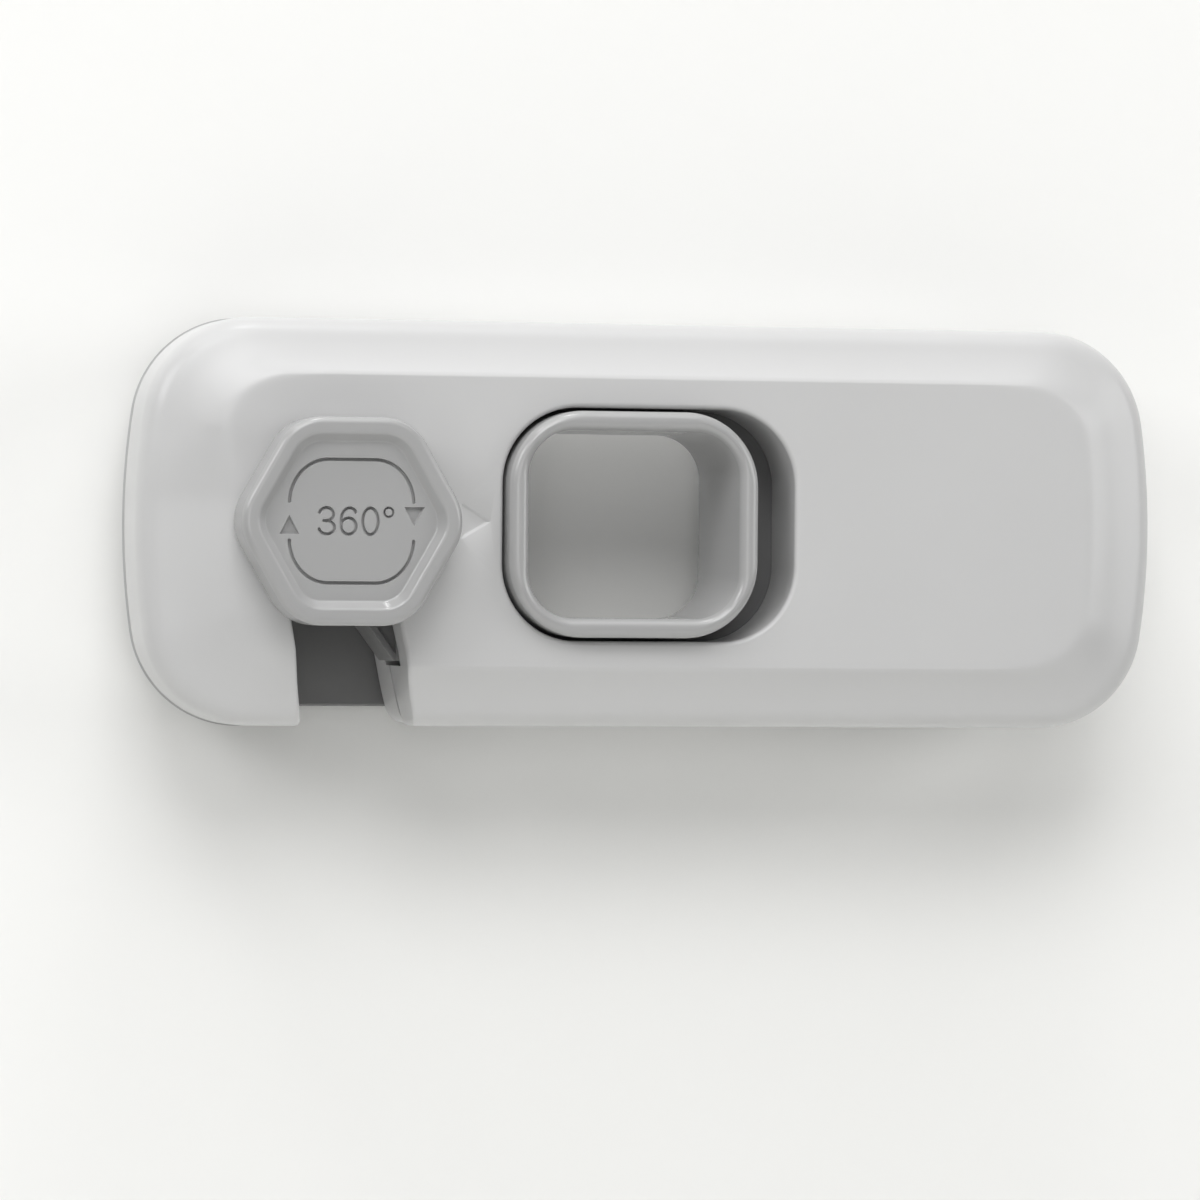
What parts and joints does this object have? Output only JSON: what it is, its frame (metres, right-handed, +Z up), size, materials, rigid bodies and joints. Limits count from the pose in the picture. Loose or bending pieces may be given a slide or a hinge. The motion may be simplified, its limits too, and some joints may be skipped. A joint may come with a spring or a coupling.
{
  "type": "cabinet safety lock",
  "caption": "Swing-arm cabinet safety lock: an arm on one door hooks over a post on the other, and a square finger ring draws a spring latch.",
  "frame": {"origin": "middle of the pivot pad's adhesive face, on the plane of the doors", "axes": "+X to the right along the arm as seen from the front, +Y into the doors, +Z up; the lock's front faces -Y"},
  "size_m": [0.1, 0.0255, 0.039],
  "materials": {
    "light_abs": "injection-moulded ABS, satin",
    "grey_abs": "injection-moulded ABS, satin, one shade darker",
    "dark_abs": "injection-moulded ABS, matt, dark grey",
    "dark_acetal": "moulded acetal, satin",
    "nylon": "punched nylon sheet",
    "adhesive_foam": "double-sided adhesive foam",
    "plated_steel": "zinc-plated steel",
    "spring_steel": "drawn spring wire"
  },
  "bodies": {
    "bases": {"catch_pad": "adhesive_foam", "catch_base": "dark_abs", "catch_post": "light_abs", "pivot_pad": "adhesive_foam", "pivot_base": "dark_abs", "pivot_shim": "nylon", "pivot_washer": "plated_steel", "pivot_screw": "plated_steel"},
    "arm": {"rear_cover": "light_abs", "front_cover": "light_abs", "cover_screws": "plated_steel", "upper_spring": "spring_steel", "lower_spring": "spring_steel"},
    "slider": {"slider_plate": "dark_abs", "finger_ring": "grey_abs", "latch_pawl": "dark_acetal"},
    "knob": {"knob_cap": "grey_abs", "knob_stem": "grey_abs", "knob_washer": "plated_steel", "knob_screw": "plated_steel"}
  },
  "joints": [
    {"name": "arm_lift", "type": "hinge", "parent": "bases", "child": "arm", "pos_m": [0, 0, 0], "axis": [0, 1, 0], "range_deg": [0, 90], "deforming": ["latch_pawl"]},
    {"name": "ring_slide", "type": "slide", "parent": "arm", "child": "slider", "axis": [1, 0, 0], "range_m": [0, 0.004], "stiffness_N_per_m": 250, "springref_m": -0.002, "deforming": ["upper_spring", "lower_spring"]},
    {"name": "knob_turn", "type": "hinge", "parent": "bases", "child": "knob", "pos_m": [-0.05597, 0, 0], "axis": [0, 1, 0], "continuous": true}
  ]
}
